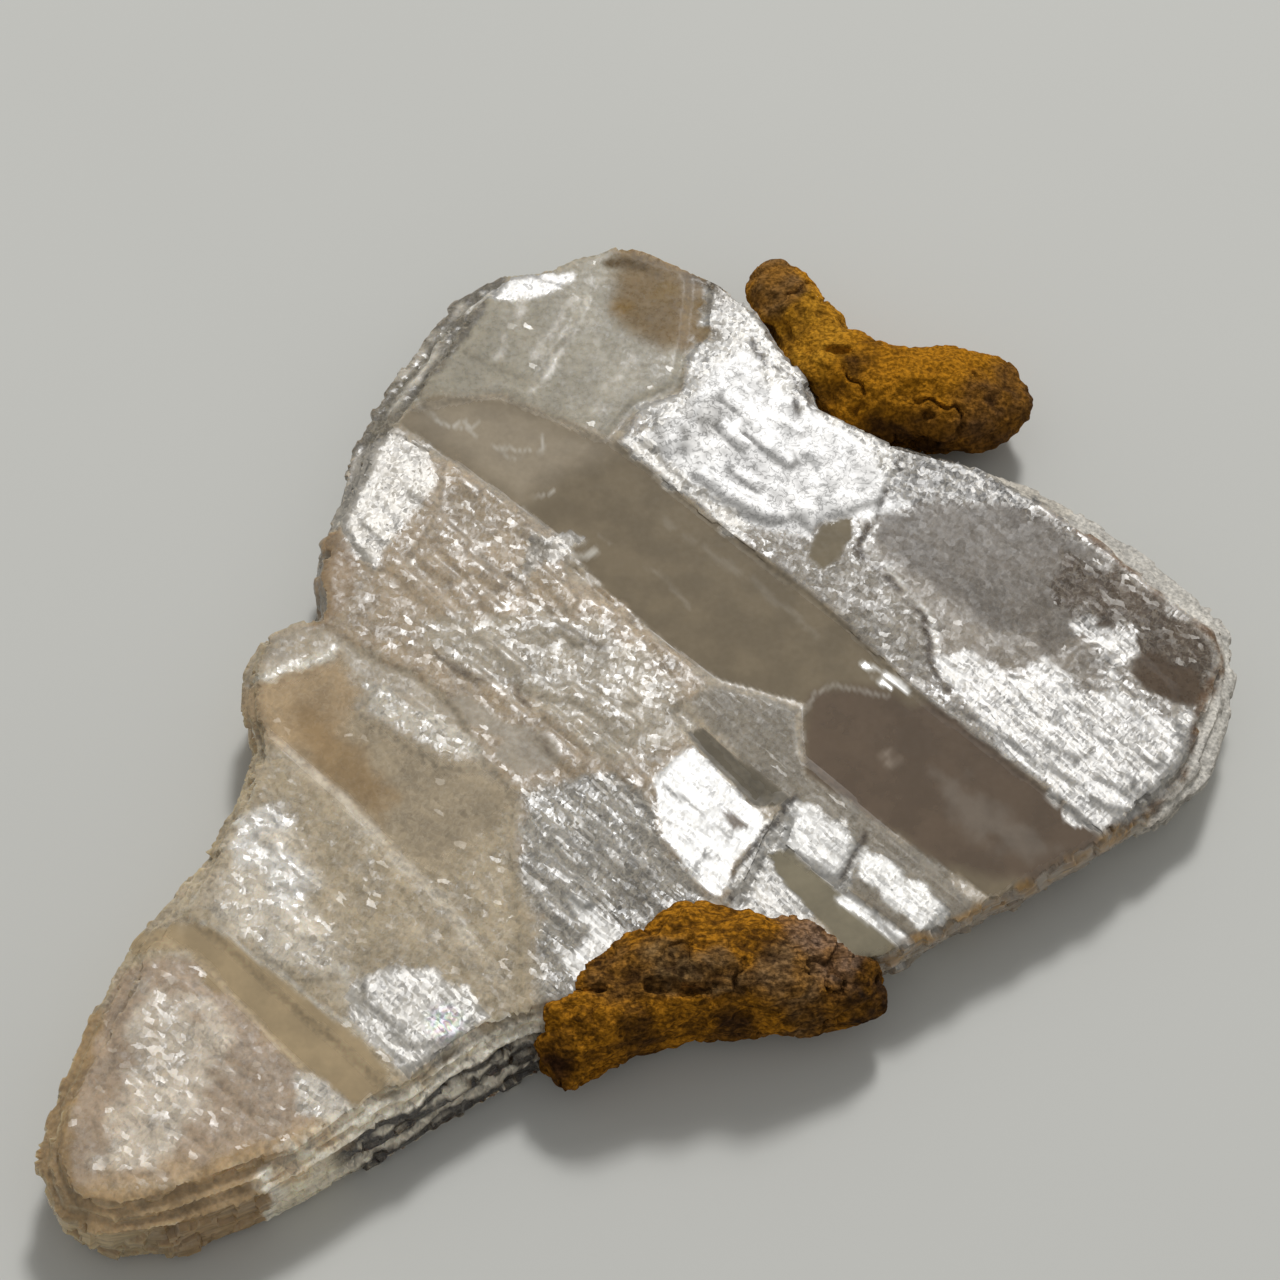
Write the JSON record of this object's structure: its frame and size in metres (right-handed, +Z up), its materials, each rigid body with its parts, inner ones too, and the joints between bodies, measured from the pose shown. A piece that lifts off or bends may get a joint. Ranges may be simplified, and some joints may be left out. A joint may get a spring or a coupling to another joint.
{
  "type": "calcite crystal specimen",
  "caption": "Tabular plate of cleaved, part-clear calcite with stepped ledges and a frosted rim, with lumps of rusty iron oxide grown on its far edge and on its near edge.",
  "frame": {"origin": "under the middle of the specimen's box, on the plane of the cleavage face that it lies on", "axes": "+Z up, square to the plate; +X towards the frosted rim, across the tapering plate; +Y towards the far lump"},
  "size_m": [0.0574, 0.0562, 0.0066],
  "materials": {
    "calcite": "clear to silky, honey to grey-beige, with silvery cleavage flashes",
    "iron_oxide": "dull, earthy, ochre to dark brown, rough and pitted"
  },
  "bodies": {
    "root": {"calcite_crystal": "calcite", "far_iron_oxide_lump": "iron_oxide", "near_iron_oxide_lump": "iron_oxide"}
  },
  "joints": []
}
